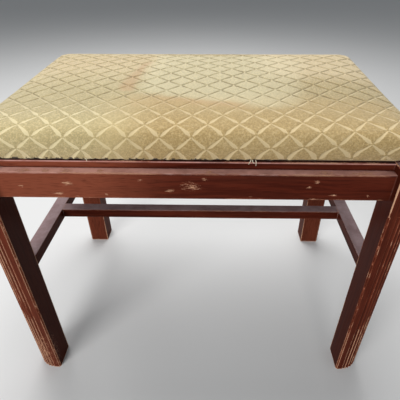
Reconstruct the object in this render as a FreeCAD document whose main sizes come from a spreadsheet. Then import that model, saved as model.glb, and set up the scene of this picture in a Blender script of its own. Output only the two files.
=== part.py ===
import FreeCAD, Part
import math
import os

import Sketcher
from FreeCAD import Placement, Rotation, Vector

# Upholstered vanity bench: a wooden frame of four fluted legs, four rails and three stretchers,
# with a screwed-down seat of board, pad and wrapped cover. Millimetres, +Z up, +X to the right of
# someone who faces the front, origin on the floor under the middle of the bench.

SIZES = {
    # Frame, over the outer faces of the legs
    "frame_width": 530,
    "frame_depth": 356,
    "frame_height": 376.5,
    # Legs: square, with a rounded and fluted outer corner below a stop
    "leg_side": 38,
    "leg_round": 28,
    "flute_count": 8,
    "flute_depth": 1.2,
    "flute_ridge": 0.5,
    "flute_top": 316,
    "arris_chamfer": 2,
    # Rails: an apron face, a ledge on top of it and a raised lip behind the ledge
    "rail_setback": 10,
    "rail_thick": 22,
    "apron_height": 34,
    "lip_height": 9.5,
    "lip_setback": 11,
    "edge_round": 1,
    # Dowels between rails and legs
    "dowel_diameter": 8,
    "dowel_in_leg": 12,
    "dowel_in_rail": 22,
    "dowel_low": 10,
    "dowel_spacing": 16,
    # Stretchers and their tenons
    "stretcher_top": 198,
    "side_stretcher_width": 21,
    "side_stretcher_height": 18,
    "side_stretcher_setback": 6,
    "cross_stretcher_width": 18,
    "cross_stretcher_height": 16,
    "tenon_thick": 9,
    "tenon_height": 10,
    "leg_tenon": 16,
    "cross_tenon": 12,
    # Room around dowels, tenons and screws
    "fit_gap": 0.15,
    # Corner blocks in the angles of the rails
    "block_side": 58,
    "block_relief": 16,
    "block_height": 22,
    "block_drop": 4.5,
    # Screws through the blocks
    "screw_head_diameter": 8.5,
    "screw_head_height": 2.8,
    "screw_point": 4,
    "seat_screw_diameter": 4.5,
    "seat_screw_place": 20,
    "seat_screw_reach": 9,
    "block_screw_diameter": 4,
    "block_screw_place": 44,
    "block_screw_floor": 6,
    "block_screw_grip": 14,
    # Seat: board, pad and cover, set in from the outer faces of the legs
    "seat_side_inset": 15,
    "seat_front_inset": 15,
    "seat_corner": 24,
    "cover_thick": 1.2,
    "bottom_roll": 3,
    "drawn_in": 6.5,
    "edge_height": 40,
    "edge_roll": 12,
    "crown_height": 10,
    "wrap_inside": 15,
    "board_thick": 12,
    "soft_gap": 0.3,
    # Dust cover and tacks under the seat, inside the rails
    "dust_thick": 0.6,
    "dust_inside": 3,
    "tack_head_diameter": 6.5,
    "tack_head_height": 0.8,
    "tack_shank_diameter": 1.4,
    "tack_length": 9,
    "tack_inside": 9,
    "long_tack_count": 9,
    "short_tack_count": 5,
}

QUARTER_TURN = 90
CORNERS = ("front_left", "front_right", "back_right", "back_left")
SIDES = ("front", "right", "back", "left")

doc = FreeCAD.newDocument("upholstered_bench")
sheet = doc.addObject("Spreadsheet::Sheet", "sizes")
for row, (alias, amount) in enumerate(SIZES.items(), start=1):
    sheet.set(f"A{row}", alias)
    sheet.set(f"B{row}", str(amount))
    sheet.setAlias(f"B{row}", alias)
doc.recompute()


class Formula:
    """A number together with the sheet expression that gives it."""

    def __init__(self, value, text):
        self.value = value
        self.text = text

    def __add__(self, other):
        other = formula(other)
        return Formula(self.value + other.value, f"({self.text} + {other.text})")

    def __sub__(self, other):
        other = formula(other)
        return Formula(self.value - other.value, f"({self.text} - {other.text})")

    def __mul__(self, other):
        other = formula(other)
        return Formula(self.value * other.value, f"({self.text} * {other.text})")

    def __truediv__(self, other):
        other = formula(other)
        return Formula(self.value / other.value, f"({self.text} / {other.text})")

    def __neg__(self):
        return Formula(-self.value, f"(0 - {self.text})")


def formula(item):
    """Any number as a Formula."""
    if isinstance(item, Formula):
        return item
    return Formula(float(item), str(item))


def size(alias):
    """A driving dimension, as the sheet holds it."""
    return Formula(float(sheet.get(alias)), f"sizes.{alias}")


def cosine(degrees):
    return Formula(math.cos(math.radians(degrees.value)), f"cos({degrees.text} * 1 deg)")


def sine(degrees):
    return Formula(math.sin(math.radians(degrees.value)), f"sin({degrees.text} * 1 deg)")


def bind(item, name, amount):
    """Tie one property of a document object to the sheet."""
    item.setExpression(name, formula(amount).text)


def place(item, x, y, z, turn=0):
    """Stand an object at a point of the bench, turned about the vertical."""
    point = [formula(part) for part in (x, y, z)]
    item.Placement = Placement(Vector(*[part.value for part in point]), Rotation(Vector(0, 0, 1), turn))
    for axis, part in zip("xyz", point):
        bind(item, f"Placement.Base.{axis}", part)


def new_body(label):
    body = doc.addObject("PartDesign::Body", label)
    body.Label = label
    return body


def origin_plane(body, role):
    return next(item for item in body.Origin.OriginFeatures if item.Role == role)


def new_sketch(body, role, x=0, y=0, lift=0):
    """A sketch on an origin plane, its own origin moved by x and y in the plane and lift along its normal."""
    sketch = body.newObject("Sketcher::SketchObject", f"{body.Name}_sketch")
    sketch.AttachmentSupport = [(origin_plane(body, role), "")]
    sketch.MapMode = "FlatFace"
    for axis, amount in (("x", x), ("y", y), ("z", lift)):
        bind(sketch, f"AttachmentOffset.Base.{axis}", amount)
    return sketch


def hold(sketch, item, end, x, y):
    """Hold one point of a sketch at its distances from the sketch's origin."""
    for kind, axis, amount in (("DistanceX", -2, formula(x)), ("DistanceY", -1, formula(y))):
        if amount.value == 0:
            sketch.addConstraint(Sketcher.Constraint("PointOnObject", item, end, axis))
            continue
        if amount.value > 0:
            rule = Sketcher.Constraint(kind, -1, 1, item, end, amount.value)
        else:
            amount = -amount
            rule = Sketcher.Constraint(kind, item, end, -1, 1, amount.value)
        index = sketch.addConstraint(rule)
        bind(sketch, f"Constraints[{index}]", amount)


def draw_outline(sketch, corners):
    """Draw a closed run of straight lines through the corners."""
    points = [Vector(formula(x).value, formula(y).value, 0) for x, y in corners]
    first = sketch.GeometryCount
    count = len(points)
    for step in range(count):
        line = Part.LineSegment(points[step], points[(step + 1) % count])
        sketch.addGeometry(line, False)
    for step in range(count):
        following = first + (step + 1) % count
        sketch.addConstraint(Sketcher.Constraint("Coincident", first + step, 2, following, 1))
    for step, (x, y) in enumerate(corners):
        hold(sketch, first + step, 1, x, y)


def draw_rectangle(sketch, left, bottom, right, top):
    draw_outline(sketch, [(left, bottom), (right, bottom), (right, top), (left, top)])


def draw_circle(sketch, x, y, radius):
    center = Vector(formula(x).value, formula(y).value, 0)
    item = sketch.addGeometry(Part.Circle(center, Vector(0, 0, 1), formula(radius).value), False)
    hold(sketch, item, 3, x, y)
    index = sketch.addConstraint(Sketcher.Constraint("Radius", item, formula(radius).value))
    bind(sketch, f"Constraints[{index}]", radius)


def pad(body, sketch, length, both_ways=False):
    """Add the sketch's area along its normal, or half of the length to each side."""
    feature = body.newObject("PartDesign::Pad", f"{body.Name}_pad")
    feature.Profile = sketch
    bind(feature, "Length", length)
    if both_ways:
        feature.SideType = "Symmetric"
    doc.recompute()
    return feature


def pocket(body, sketch, depth, along_normal=False):
    """Cut the sketch's area against its normal, or along it, and check that it took something away."""
    before = body.Shape.Volume
    feature = body.newObject("PartDesign::Pocket", f"{body.Name}_pocket")
    feature.Profile = sketch
    bind(feature, "Length", depth)
    feature.Reversed = along_normal
    doc.recompute()
    if body.Shape.Volume >= before:
        raise RuntimeError(f"a pocket of {body.Label} cut nothing")
    return feature


def revolve(body, sketch, axis):
    feature = body.newObject("PartDesign::Revolution", f"{body.Name}_turned")
    feature.Profile = sketch
    feature.ReferenceAxis = (sketch, [axis])
    feature.Angle = 360
    doc.recompute()
    return feature


def mirror_ends(body, feature):
    """Repeat a feature of one end at the other end of a piece that lies along X."""
    copy = body.newObject("PartDesign::Mirrored", f"{body.Name}_mirrored")
    copy.Originals = [feature]
    copy.MirrorPlane = (origin_plane(body, "YZ_Plane"), [""])
    body.Tip = copy
    doc.recompute()


def mirror_both(body, features):
    """Repeat features left to right and front to back, four copies in all."""
    copies = body.newObject("PartDesign::MultiTransform", f"{body.Name}_copies")
    steps = []
    for role in ("YZ_Plane", "XZ_Plane"):
        step = doc.addObject("PartDesign::Mirrored", f"{body.Name}_mirrored")
        body.addObject(step)
        step.MirrorPlane = (origin_plane(body, role), [""])
        steps.append(step)
    copies.Originals = features
    copies.Transformations = steps
    body.Tip = copies
    doc.recompute()


def round_edges(body, feature, radius, wanted):
    """Round the edges of a feature for which wanted(edge) holds."""
    names = [f"Edge{i}" for i, edge in enumerate(feature.Shape.Edges, start=1) if wanted(edge)]
    if not names:
        raise RuntimeError(f"no edge of {body.Label} to round")
    fillet = body.newObject("PartDesign::Fillet", f"{body.Name}_rounded")
    fillet.Base = (feature, names)
    bind(fillet, "Radius", radius)
    doc.recompute()
    return fillet


def near(a, b):
    return abs(a - b) < 1e-4


def runs_along(edge, axis):
    """True for a straight edge parallel to X (0), Y (1) or Z (2)."""
    reach = edge.Vertexes[-1].Point - edge.Vertexes[0].Point
    return len(edge.Vertexes) == 2 and near(abs(reach[axis]), edge.Length)


# Places that several pieces share

half_width = size("frame_width") / 2
half_depth = size("frame_depth") / 2
front_rail_length = size("frame_width") - size("leg_side") * 2
side_rail_length = size("frame_depth") - size("leg_side") * 2
ledge_height = size("frame_height") - size("lip_height")
apron_bottom = ledge_height - size("apron_height")
rail_middle = size("rail_setback") + size("rail_thick") / 2
inside_x = half_width - size("rail_setback") - size("rail_thick")
inside_y = half_depth - size("rail_setback") - size("rail_thick")
dowel_heights = [apron_bottom + size("dowel_low"), apron_bottom + size("dowel_low") + size("dowel_spacing")]
dowel_hole_radius = size("dowel_diameter") / 2 + size("fit_gap")
stretcher_middle = size("stretcher_top") - size("side_stretcher_height") / 2
tenon_bottom = stretcher_middle - size("tenon_height") / 2
tenon_top = stretcher_middle + size("tenon_height") / 2
block_bottom = size("frame_height") - size("block_drop") - size("block_height")
block_middle = block_bottom + size("block_height") / 2
seat_half_x = half_width - size("seat_side_inset")
seat_half_y = half_depth - size("seat_front_inset")
seat_screw_x = inside_x - size("seat_screw_place")
seat_screw_y = inside_y - size("seat_screw_place")
seat_screw_radius = size("seat_screw_diameter") / 2
block_screw_radius = size("block_screw_diameter") / 2
screw_head_radius = size("screw_head_diameter") / 2
board_bottom = size("frame_height") + size("cover_thick")
board_top = board_bottom + size("board_thick")
dust_bottom = size("frame_height") - size("dust_thick")
tack_shank_radius = size("tack_shank_diameter") / 2


def tack_places():
    """Tack centres in a row beside each rail, the long rows front and back."""
    long_row = inside_y - size("tack_inside")
    short_row = inside_x - size("tack_inside")
    long_count = int(size("long_tack_count").value)
    short_count = int(size("short_tack_count").value)
    places = []
    for step in range(long_count):
        along = short_row * 2 * (step + 0.5) / long_count - short_row
        places += [(along, long_row), (along, -long_row)]
    for step in range(short_count):
        along = long_row * 2 * (step + 0.5) / short_count - long_row
        places += [(short_row, along), (-short_row, along)]
    return places


# Legs: the local origin is the outer corner at the floor, and both local axes point inwards

def cut_flutes(body):
    """Cut the flutes of the rounded corner, from the floor to the stop, evenly round its quarter turn."""
    pitch_angle = formula(QUARTER_TURN) / size("flute_count")
    chord = size("leg_round") * pitch_angle * math.radians(1) - size("flute_ridge")
    depth = size("flute_depth")
    cutter_radius = (chord * chord / 4 + depth * depth) / (depth * 2)
    cutter_place = size("leg_round") - depth + cutter_radius
    sketch = new_sketch(body, "XY_Plane", size("leg_round"), size("leg_round"))
    cutter_x = cutter_place * cosine(pitch_angle / 2)
    cutter_y = cutter_place * sine(pitch_angle / 2)
    draw_circle(sketch, -cutter_x, -cutter_y, cutter_radius)
    flute = pocket(body, sketch, size("flute_top"), along_normal=True)
    flutes = body.newObject("PartDesign::PolarPattern", f"{body.Name}_flutes")
    flutes.Originals = [flute]
    flutes.Axis = (sketch, ["N_Axis"])
    bind(flutes, "Angle", formula(QUARTER_TURN) - pitch_angle)
    bind(flutes, "Occurrences", size("flute_count"))
    body.Tip = flutes
    doc.recompute()


def cut_arris_chamfers(body):
    """Chamfer the two arrises beside the moulded corner, from the floor to the stop."""
    side = size("leg_side")
    cut = size("arris_chamfer")
    sketch = new_sketch(body, "XY_Plane")
    draw_outline(sketch, [(side, 0), (side, cut), (side - cut, 0)])
    draw_outline(sketch, [(0, side), (0, side - cut), (cut, side)])
    pocket(body, sketch, size("flute_top"), along_normal=True)


def cut_leg_joints(body, stretcher_on_x):
    """Bore the dowel holes of both rails and the mortise of the side stretcher."""
    side = size("leg_side")
    gap = size("fit_gap")
    face_x = new_sketch(body, "YZ_Plane", lift=side)
    face_y = new_sketch(body, "XZ_Plane", lift=-side)
    for height in dowel_heights:
        draw_circle(face_x, rail_middle, height, dowel_hole_radius)
        draw_circle(face_y, rail_middle, height, dowel_hole_radius)
    pocket(body, face_x, size("dowel_in_leg") + gap)
    pocket(body, face_y, size("dowel_in_leg") + gap, along_normal=True)
    middle = size("side_stretcher_setback") + size("side_stretcher_width") / 2
    left = middle - size("tenon_thick") / 2 - gap
    right = middle + size("tenon_thick") / 2 + gap
    if stretcher_on_x:
        mortise = new_sketch(body, "YZ_Plane", lift=side)
    else:
        mortise = new_sketch(body, "XZ_Plane", lift=-side)
    draw_rectangle(mortise, left, tenon_bottom - gap, right, tenon_top + gap)
    pocket(body, mortise, size("leg_tenon") + gap, along_normal=not stretcher_on_x)


def make_leg(corner, turn):
    """One leg; the side stretcher meets the local Y face of every other leg and the X face of the rest."""
    body = new_body(f"{corner}_leg")
    sketch = new_sketch(body, "XY_Plane")
    draw_rectangle(sketch, 0, 0, size("leg_side"), size("leg_side"))
    post = pad(body, sketch, size("frame_height"))

    def outer_corner(edge):
        return runs_along(edge, 2) and near(edge.CenterOfMass.x, 0) and near(edge.CenterOfMass.y, 0)

    round_edges(body, post, size("leg_round"), outer_corner)
    cut_flutes(body)
    cut_arris_chamfers(body)
    cut_leg_joints(body, stretcher_on_x=corner in ("front_right", "back_left"))
    side_x = half_width if "right" in corner else -half_width
    side_y = half_depth if "back" in corner else -half_depth
    place(body, side_x, side_y, 0, turn)
    return body


# Rails: local X along the rail, local Y inwards from the apron face, local Z up from its lower edge

def make_rail(side, turn):
    across = side in ("front", "back")
    length = front_rail_length if across else side_rail_length
    body = new_body(f"{side}_rail")
    thick = size("rail_thick")
    ledge = size("apron_height")
    top = ledge + size("lip_height")
    section = new_sketch(body, "YZ_Plane")
    lip = size("lip_setback")
    draw_outline(section, [(0, 0), (thick, 0), (thick, top), (lip, top), (lip, ledge), (0, ledge)])
    bar = pad(body, section, length, both_ways=True)
    soft_edges = [(0, 0), (0, ledge.value), (lip.value, top.value)]

    def outer_arris(edge):
        middle = edge.CenterOfMass
        return runs_along(edge, 0) and any(near(middle.y, y) and near(middle.z, z) for y, z in soft_edges)

    round_edges(body, bar, size("edge_round"), outer_arris)
    dowels = new_sketch(body, "YZ_Plane", lift=length / 2)
    for height in dowel_heights:
        draw_circle(dowels, thick / 2, height - apron_bottom, dowel_hole_radius)
    holes = pocket(body, dowels, size("dowel_in_rail") + size("fit_gap"))
    mirror_ends(body, holes)
    screw_place = (inside_x if across else inside_y) - size("block_screw_place")
    pilots = new_sketch(body, "XZ_Plane", lift=-thick)
    for x in (screw_place, -screw_place):
        draw_circle(pilots, x, block_middle - apron_bottom, block_screw_radius + size("fit_gap"))
    pocket(body, pilots, size("block_screw_grip") + size("fit_gap"), along_normal=True)
    face_x = half_width - size("rail_setback")
    face_y = half_depth - size("rail_setback")
    spots = {"front": (0, -face_y), "back": (0, face_y), "left": (-face_x, 0), "right": (face_x, 0)}
    place(body, *spots[side], apron_bottom, turn)
    return body


def make_rail_dowels():
    """Two dowels at each end of each rail."""
    body = new_body("rail_dowels")
    length = size("dowel_in_leg") + size("dowel_in_rail")
    radius = size("dowel_diameter") / 2
    front = new_sketch(body, "YZ_Plane", lift=half_width - size("leg_side") - size("dowel_in_rail"))
    sides = new_sketch(body, "XZ_Plane", lift=-(half_depth - size("leg_side") + size("dowel_in_leg")))
    for height in dowel_heights:
        draw_circle(front, half_depth - rail_middle, height, radius)
        draw_circle(sides, half_width - rail_middle, height, radius)
    mirror_both(body, [pad(body, front, length), pad(body, sides, length)])
    return body


# Stretchers: bars with a tenon at each end

def make_side_stretcher(side):
    """A bar from front leg to back leg, with a mortise for the cross stretcher in its inner face."""
    body = new_body(f"{side}_stretcher")
    width = size("side_stretcher_width")
    height = size("side_stretcher_height")
    gap = size("fit_gap")
    section = new_sketch(body, "XZ_Plane")
    draw_rectangle(section, 0, 0, width, height)
    bar = pad(body, section, side_rail_length, both_ways=True)
    round_edges(body, bar, size("edge_round"), lambda edge: runs_along(edge, 1))
    tenon = new_sketch(body, "XZ_Plane")
    middle = width / 2
    low = tenon_bottom - size("stretcher_top") + height
    draw_rectangle(tenon, middle - size("tenon_thick") / 2, low,
                   middle + size("tenon_thick") / 2, low + size("tenon_height"))
    pad(body, tenon, side_rail_length + size("leg_tenon") * 2, both_ways=True)
    mortise = new_sketch(body, "YZ_Plane", lift=width)
    half_thick = size("tenon_thick") / 2 + gap
    draw_rectangle(mortise, -half_thick, low - gap, half_thick, low + size("tenon_height") + gap)
    pocket(body, mortise, size("cross_tenon") + gap)
    outer_x = half_width - size("side_stretcher_setback")
    if side == "left":
        place(body, -outer_x, 0, size("stretcher_top") - height)
    else:
        place(body, outer_x, 0, size("stretcher_top") - height, 2 * QUARTER_TURN)
    return body


def make_cross_stretcher():
    """The long bar between the two side stretchers, its top level with theirs."""
    body = new_body("cross_stretcher")
    half = size("cross_stretcher_width") / 2
    height = size("cross_stretcher_height")
    length = (half_width - size("side_stretcher_setback") - size("side_stretcher_width")) * 2
    section = new_sketch(body, "YZ_Plane")
    draw_rectangle(section, -half, 0, half, height)
    bar = pad(body, section, length, both_ways=True)
    round_edges(body, bar, size("edge_round"), lambda edge: runs_along(edge, 0))
    tenon = new_sketch(body, "YZ_Plane")
    half_thick = size("tenon_thick") / 2
    low = tenon_bottom - size("stretcher_top") + height
    draw_rectangle(tenon, -half_thick, low, half_thick, low + size("tenon_height"))
    pad(body, tenon, length + size("cross_tenon") * 2, both_ways=True)
    place(body, 0, 0, size("stretcher_top") - height)
    return body


# Corner blocks: the local origin is where the inner faces of two rails would meet

def make_block(corner, turn):
    body = new_body(f"{corner}_block")
    side = size("block_side")
    relief = size("block_relief")
    tall = size("block_height")
    gap = size("fit_gap")
    plan = new_sketch(body, "XY_Plane")
    draw_outline(plan, [(relief, 0), (side, 0), (0, side), (0, relief)])
    pad(body, plan, tall)
    seat_hole = new_sketch(body, "XY_Plane")
    draw_circle(seat_hole, size("seat_screw_place"), size("seat_screw_place"), seat_screw_radius + gap)
    pocket(body, seat_hole, tall, along_normal=True)
    floor = size("block_screw_floor")
    for radius, start in ((block_screw_radius + gap, 0), (screw_head_radius + gap, floor)):
        into_y = new_sketch(body, "XZ_Plane", lift=-formula(start))
        draw_circle(into_y, size("block_screw_place"), tall / 2, radius)
        pocket(body, into_y, side)
        into_x = new_sketch(body, "YZ_Plane", lift=start)
        draw_circle(into_x, size("block_screw_place"), tall / 2, radius)
        pocket(body, into_x, side, along_normal=True)
    side_x = inside_x if "right" in corner else -inside_x
    side_y = inside_y if "back" in corner else -inside_y
    place(body, side_x, side_y, block_bottom, turn)
    return body


def screw_profile(radius, length):
    """Half of a screw's outline as (distance from its axis, distance from its point)."""
    head = length + size("screw_head_height")
    return [(0, 0), (radius, size("screw_point")), (radius, length), (screw_head_radius, length),
            (screw_head_radius, head), (0, head)]


def make_block_screws():
    """One screw from each wing of a corner block into its rail."""
    body = new_body("block_screws")
    profile = screw_profile(block_screw_radius, size("block_screw_floor") + size("block_screw_grip"))
    point_x = -(inside_x + size("block_screw_grip"))
    point_y = -(inside_y + size("block_screw_grip"))
    into_front = new_sketch(body, "XY_Plane", inside_x - size("block_screw_place"), point_y, block_middle)
    draw_outline(into_front, profile)
    into_side = new_sketch(body, "XY_Plane", point_x, inside_y - size("block_screw_place"), block_middle)
    draw_outline(into_side, [(along, across) for across, along in profile])
    mirror_both(body, [revolve(body, into_front, "V_Axis"), revolve(body, into_side, "H_Axis")])
    return body


def make_seat_screws():
    """Four screws up through the corner blocks into the seat board."""
    body = new_body("seat_screws")
    length = board_bottom - block_bottom + size("seat_screw_reach")
    point = board_bottom + size("seat_screw_reach")
    section = new_sketch(body, "XZ_Plane", seat_screw_x, 0, -seat_screw_y)
    profile = screw_profile(seat_screw_radius, length)
    draw_outline(section, [(across, point - along) for across, along in profile])
    mirror_both(body, [revolve(body, section, "V_Axis")])
    return body


# Seat

def make_seat_board():
    """A plywood panel with rounded corners and a rounded lower edge."""
    body = new_body("seat_board")
    inset = size("drawn_in") + size("cover_thick") + size("soft_gap")
    half_x = seat_half_x - inset
    half_y = seat_half_y - inset
    plan = new_sketch(body, "XY_Plane")
    draw_rectangle(plan, -half_x, -half_y, half_x, half_y)
    panel = pad(body, plan, size("board_thick"))
    panel = round_edges(body, panel, size("seat_corner") - inset, lambda edge: runs_along(edge, 2))
    lower_round = size("bottom_roll") - size("cover_thick")
    round_edges(body, panel, lower_round, lambda edge: near(edge.BoundBox.ZMax, 0))
    pilots = new_sketch(body, "XY_Plane")
    for x in (seat_screw_x, -seat_screw_x):
        for y in (seat_screw_y, -seat_screw_y):
            draw_circle(pilots, x, y, seat_screw_radius + size("fit_gap"))
    pocket(body, pilots, size("seat_screw_reach") + size("fit_gap"), along_normal=True)
    tack_holes = new_sketch(body, "XY_Plane")
    for x, y in tack_places():
        draw_circle(tack_holes, x, y, tack_shank_radius + size("fit_gap"))
    pocket(body, tack_holes, size("tack_length") + size("fit_gap"), along_normal=True)
    place(body, 0, 0, board_bottom)
    return body


def make_dust_cover():
    """A thin cloth under the seat, just inside the rails."""
    body = new_body("dust_cover")
    half_x = inside_x - size("dust_inside")
    half_y = inside_y - size("dust_inside")
    plan = new_sketch(body, "XY_Plane")
    draw_rectangle(plan, -half_x, -half_y, half_x, half_y)
    for x, y in tack_places():
        draw_circle(plan, x, y, tack_shank_radius + size("fit_gap"))
    for x in (seat_screw_x, -seat_screw_x):
        for y in (seat_screw_y, -seat_screw_y):
            draw_circle(plan, x, y, seat_screw_radius + size("fit_gap"))
    pad(body, plan, size("dust_thick"))
    place(body, 0, 0, dust_bottom)
    return body


def make_cover_tacks():
    """Tacks driven up through dust cover and seat cover into the board."""
    body = new_body("cover_tacks")
    heads = new_sketch(body, "XY_Plane")
    shanks = new_sketch(body, "XY_Plane")
    for x, y in tack_places():
        draw_circle(heads, x, y, size("tack_head_diameter") / 2)
        draw_circle(shanks, x, y, tack_shank_radius)
    pad(body, heads, size("tack_head_height"))
    into_board = size("tack_length") + size("cover_thick") + size("dust_thick")
    pad(body, shanks, size("tack_head_height") + into_board)
    place(body, 0, 0, dust_bottom - size("tack_head_height"))
    return body


def rounded_ring(half_x, half_y, corner, z):
    """A level rounded rectangle, as four lines joined by four quarter arcs."""
    edges = []
    diagonal = corner * math.sqrt(0.5)
    for sign_x, sign_y in ((1, 1), (-1, 1), (-1, -1), (1, -1)):
        center = Vector(sign_x * (half_x - corner), sign_y * (half_y - corner), z)
        along_x = center + Vector(sign_x * corner, 0, 0)
        along_y = center + Vector(0, sign_y * corner, 0)
        middle = center + Vector(sign_x * diagonal, sign_y * diagonal, 0)
        ends = (along_x, along_y) if sign_x == sign_y else (along_y, along_x)
        edges.append(Part.Arc(ends[0], middle, ends[1]).toShape())
    ring = []
    for step, arc in enumerate(edges):
        following = edges[(step + 1) % len(edges)]
        ring.append(arc)
        ring.append(Part.LineSegment(arc.Vertexes[-1].Point, following.Vertexes[0].Point).toShape())
    return Part.Wire(ring)


def seat_form(shrink):
    """The stuffed seat as level rings: rolled lower edge, drawn-in side, rolled upper edge and low crown.

    The form lies inside the cover's outer skin by shrink all round.
    """
    half_x = seat_half_x.value - shrink
    half_y = seat_half_y.value - shrink
    corner = size("seat_corner").value - shrink
    low = size("frame_height").value + shrink
    edge = size("frame_height").value + size("edge_height").value - shrink
    low_roll = size("bottom_roll").value - shrink
    top_roll = size("edge_roll").value - shrink
    drawn_in = size("drawn_in").value
    levels = []
    for share in (0, 0.5, 1):
        turn = math.radians(share * QUARTER_TURN)
        levels.append((drawn_in + low_roll * (1 - math.sin(turn)), low + low_roll * (1 - math.cos(turn))))
    belly = edge - top_roll
    levels.append((drawn_in / 4, (levels[-1][1] + belly) / 2))
    for share in (0, 0.25, 0.5, 0.75, 0.92):
        turn = math.radians(share * QUARTER_TURN)
        levels.append((top_roll * (1 - math.cos(turn)), edge - top_roll * (1 - math.sin(turn))))
    rings = [rounded_ring(half_x - inset, half_y - inset, corner - inset, z) for inset, z in levels]
    inset, z = levels[-1]
    crown = edge + size("crown_height").value - z
    for share in (0.12, 0.27, 0.45, 0.65, 0.82, 0.93):
        wide = (half_x - inset) * (1 - share)
        deep = (half_y - inset) * (1 - share)
        softened = (corner - inset) * (1 - share) + deep * share / 2
        rings.append(rounded_ring(wide, deep, softened, z + crown * (1 - (1 - share) ** 2)))
    return Part.makeLoft(rings, True, True)


def level_box(half_x, half_y, low, high):
    corner = Vector(-half_x, -half_y, low)
    return Part.makeBox(2 * half_x, 2 * half_y, high - low, corner)


def make_seat_pad():
    """The stuffing on the board, a soft gap inside the cover."""
    form = seat_form(size("cover_thick").value + size("soft_gap").value)
    below = level_box(half_width.value, half_depth.value, 0, board_top.value + size("soft_gap").value)
    stuffing = doc.addObject("Part::Feature", "seat_pad")
    stuffing.Label = "seat_pad"
    stuffing.Shape = form.cut(below).Solids[0]
    return stuffing


def make_seat_cover():
    """The cover cloth: a skin over pad and board that turns under the board, to inside the rails."""
    skin = seat_form(0).cut(seat_form(size("cover_thick").value))
    margin = size("wrap_inside").value
    opening = level_box(inside_x.value - margin, inside_y.value - margin, 0, board_bottom.value)
    radius = tack_shank_radius.value + size("fit_gap").value
    spots = [Vector(x.value, y.value, 0) for x, y in tack_places()]
    holes = [Part.makeCylinder(radius, board_bottom.value, spot) for spot in spots]
    cover = doc.addObject("Part::Feature", "seat_cover")
    cover.Label = "seat_cover"
    cover.Shape = skin.cut(opening).cut(Part.makeCompound(holes)).Solids[0]
    return cover


pieces = [make_leg(corner, step * QUARTER_TURN) for step, corner in enumerate(CORNERS)]
pieces += [make_rail(side, step * QUARTER_TURN) for step, side in enumerate(SIDES)]
pieces += [make_side_stretcher(side) for side in ("left", "right")]
pieces += [make_cross_stretcher(), make_rail_dowels()]
pieces += [make_block(corner, step * QUARTER_TURN) for step, corner in enumerate(CORNERS)]
pieces += [make_block_screws(), make_seat_screws()]
pieces += [make_seat_board(), make_seat_pad(), make_seat_cover(), make_dust_cover(), make_cover_tacks()]
doc.recompute()

for item in doc.Objects:
    if "Invalid" in item.State or "Error" in item.State:
        raise RuntimeError(f"{item.Label} failed to build")
for piece in pieces:
    if piece.Shape.isNull() or not piece.Shape.isValid():
        raise RuntimeError(f"{piece.Label} is not a valid solid")

os.makedirs("parts", exist_ok=True)
for piece in pieces:
    piece.Shape.exportStep(os.path.join("parts", f"{piece.Label}.step"))
    print(piece.Label, len(piece.Shape.Solids), round(piece.Shape.Volume / 1000, 2), "cm3")
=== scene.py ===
import math
from functools import partial

import bpy
import numpy as np
from mathutils import Matrix, Vector


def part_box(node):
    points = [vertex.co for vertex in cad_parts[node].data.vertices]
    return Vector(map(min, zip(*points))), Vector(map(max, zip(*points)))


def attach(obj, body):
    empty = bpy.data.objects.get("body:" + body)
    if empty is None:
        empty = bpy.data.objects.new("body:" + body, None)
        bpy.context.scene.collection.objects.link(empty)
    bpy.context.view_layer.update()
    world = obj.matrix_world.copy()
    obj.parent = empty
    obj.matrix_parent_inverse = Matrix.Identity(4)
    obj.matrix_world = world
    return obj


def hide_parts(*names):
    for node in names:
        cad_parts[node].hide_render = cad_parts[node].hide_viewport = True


bl_info = {
    "name": "Upholstered bench",
    "version": (1, 0, 0),
    "blender": (4, 5, 0),
    "location": "View3D > Sidebar > Bench",
    "description": "Finishes an old vanity bench: worn stained frame, velour seat, dust cloth and stage",
    "category": "Object",
}

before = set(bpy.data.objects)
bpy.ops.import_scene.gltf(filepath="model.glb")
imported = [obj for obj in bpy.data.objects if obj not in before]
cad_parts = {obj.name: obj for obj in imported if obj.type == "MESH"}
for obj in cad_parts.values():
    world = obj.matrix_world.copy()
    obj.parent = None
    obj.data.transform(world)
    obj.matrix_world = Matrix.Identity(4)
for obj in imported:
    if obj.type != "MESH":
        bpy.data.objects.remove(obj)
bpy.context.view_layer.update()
ROOT = "root"
MM = 0.001
SEAT_LOW, SEAT_HIGH = (np.array(corner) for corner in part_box("seat_cover"))
DUST_LOW, DUST_HIGH = (np.array(corner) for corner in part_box("dust_cover"))
APRON_LOW, APRON_HIGH = (np.array(corner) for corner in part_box("front_rail"))
LEDGE = APRON_HIGH[2] - 9.5 * MM
# Shift of a piece's grain, as a multiple of its place, so that no two pieces look alike
OWN_GRAIN = 3.1

# Pieces of the frame, by the way their grain runs, and the turns that bring that way to X
GRAIN_ALONG = {
    "front_left_leg": "Z", "front_right_leg": "Z", "back_left_leg": "Z", "back_right_leg": "Z",
    "front_rail": "X", "back_rail": "X", "left_rail": "Y", "right_rail": "Y",
    "left_stretcher": "Y", "right_stretcher": "Y", "cross_stretcher": "X",
}
GRAIN_TURNS = {"X": (0, 0, 0), "Y": (0, 0, -math.pi / 2), "Z": (0, math.pi / 2, 0)}
BLOCKS = ("front_left_block", "front_right_block", "back_left_block", "back_right_block")

# Old knocks on the front apron in millimetres: middle across and up, half width and half height
APRON_MARKS = (
    (-142, 353, 9, 5), (-154, 340, 11, 4), (-195, 349, 4, 2), (-132, 335, 4, 2), (-3, 350, 14, 8),
    (-1, 348, 9, 5), (-26, 344, 7, 3), (13, 360, 6, 3), (65, 336, 4, 2), (-60, 358, 4, 2), (140, 358, 5, 3),
    (131, 351, 4, 2), (160, 340, 8, 2), (200, 340, 3, 2), (-100, 338, 3, 2), (140, 334, 10, 2),
)
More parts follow.
